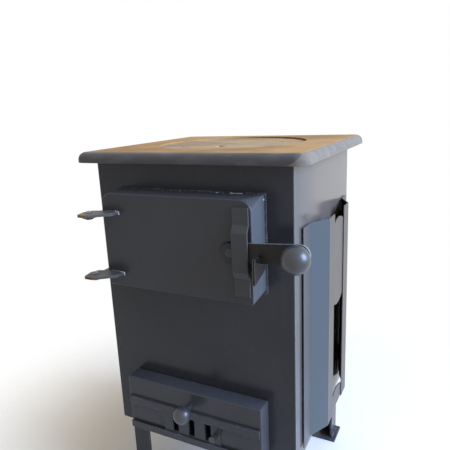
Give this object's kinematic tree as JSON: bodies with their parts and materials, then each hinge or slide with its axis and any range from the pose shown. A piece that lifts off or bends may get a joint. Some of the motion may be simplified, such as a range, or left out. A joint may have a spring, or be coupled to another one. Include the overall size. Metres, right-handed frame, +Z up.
{
  "type": "wood stove",
  "caption": "Free-standing sheet-steel wood stove lined with firebrick, with a lift-out hob ring and lid, a latched fuel door, an ash drawer with an air slider and convection side shields.",
  "frame": {"origin": "on the floor, under the middle of the body", "axes": "+Z up, -Y out of the fuel door, +X to the right of someone facing the door"},
  "size_m": [0.4233, 0.4786, 0.66],
  "materials": {
    "body_paint": "semi-gloss graphite heat paint",
    "door_paint": "semi-gloss graphite heat paint",
    "shield_paint": "semi-gloss graphite heat paint",
    "drawer_paint": "semi-gloss graphite heat paint",
    "hob_iron": "satin, heat-tinted",
    "grate_iron": "matte",
    "hinge_steel": "satin, lightly rusted",
    "knob_steel": "satin",
    "liner_steel": "matte, heat-dulled",
    "firebrick": "matte",
    "rope_seal": "matte"
  },
  "bodies": {
    "stove_body": {"front_panel": "body_paint", "rear_panel": "body_paint", "left_side_panel": "body_paint", "right_side_panel": "body_paint", "bottom_panel": "body_paint", "flue_flange": "body_paint", "flue_collar": "body_paint", "front_left_leg": "body_paint", "front_right_leg": "body_paint", "rear_left_leg": "body_paint", "rear_right_leg": "body_paint", "foot_plates": "body_paint", "fuel_door_frame": "body_paint", "upper_hinge_bracket": "body_paint", "lower_hinge_bracket": "body_paint", "latch_catch": "body_paint", "drawer_runners": "body_paint", "left_shield_front_wing": "shield_paint", "left_shield_rear_wing": "shield_paint", "left_shield_bridges": "shield_paint", "left_shield_standoffs": "shield_paint", "right_shield_front_wing": "shield_paint", "right_shield_rear_wing": "shield_paint", "right_shield_bridges": "shield_paint", "right_shield_standoffs": "shield_paint", "hob_plate": "hob_iron", "grate": "grate_iron", "grate_ledge": "grate_iron", "hinge_pins": "hinge_steel", "left_firebricks": "firebrick", "right_firebricks": "firebrick", "rear_firebricks": "firebrick", "front_firebricks": "firebrick"},
    "fuel_door": {"fuel_door_pan": "door_paint", "fuel_door_liner": "liner_steel", "liner_studs": "liner_steel", "fuel_door_seal": "rope_seal", "upper_hinge_leaf": "hinge_steel", "lower_hinge_leaf": "hinge_steel", "lever_guide_strap": "door_paint", "lever_pivot_rivet": "hinge_steel"},
    "latch_lever": {"latch_lever": "door_paint", "ball_knob": "knob_steel", "knob_screw": "hinge_steel"},
    "hob_ring": {"hob_ring": "hob_iron"},
    "hob_lid": {"hob_lid": "hob_iron"},
    "ash_drawer": {"ash_drawer_front": "drawer_paint", "ash_drawer_box": "drawer_paint", "ash_drawer_knob": "knob_steel", "air_slider_guides": "drawer_paint"},
    "air_slider": {"air_slider": "drawer_paint", "air_slider_knob": "knob_steel"}
  },
  "joints": [
    {"name": "fuel_door_hinge", "type": "hinge", "parent": "stove_body", "child": "fuel_door", "pos_m": [-0.138, -0.2345, 0.5225], "axis": [0, 0, -1], "range_deg": [0, 150]},
    {"name": "latch_lever_pivot", "type": "hinge", "parent": "fuel_door", "child": "latch_lever", "pos_m": [0.099, -0.2145, 0.5245], "axis": [0, -1, 0], "range_deg": [0, 23]},
    {"name": "hob_ring_lift", "type": "slide", "parent": "stove_body", "child": "hob_ring", "axis": [0, 0, 1], "range_m": [0, 0.1]},
    {"name": "hob_lid_lift", "type": "slide", "parent": "hob_ring", "child": "hob_lid", "axis": [0, 0, 1], "range_m": [0, 0.1]},
    {"name": "ash_drawer_slide", "type": "slide", "parent": "stove_body", "child": "ash_drawer", "axis": [0, -1, 0], "range_m": [0, 0.22]},
    {"name": "air_slider_slide", "type": "slide", "parent": "ash_drawer", "child": "air_slider", "axis": [1, 0, 0], "range_m": [0, 0.016]}
  ]
}
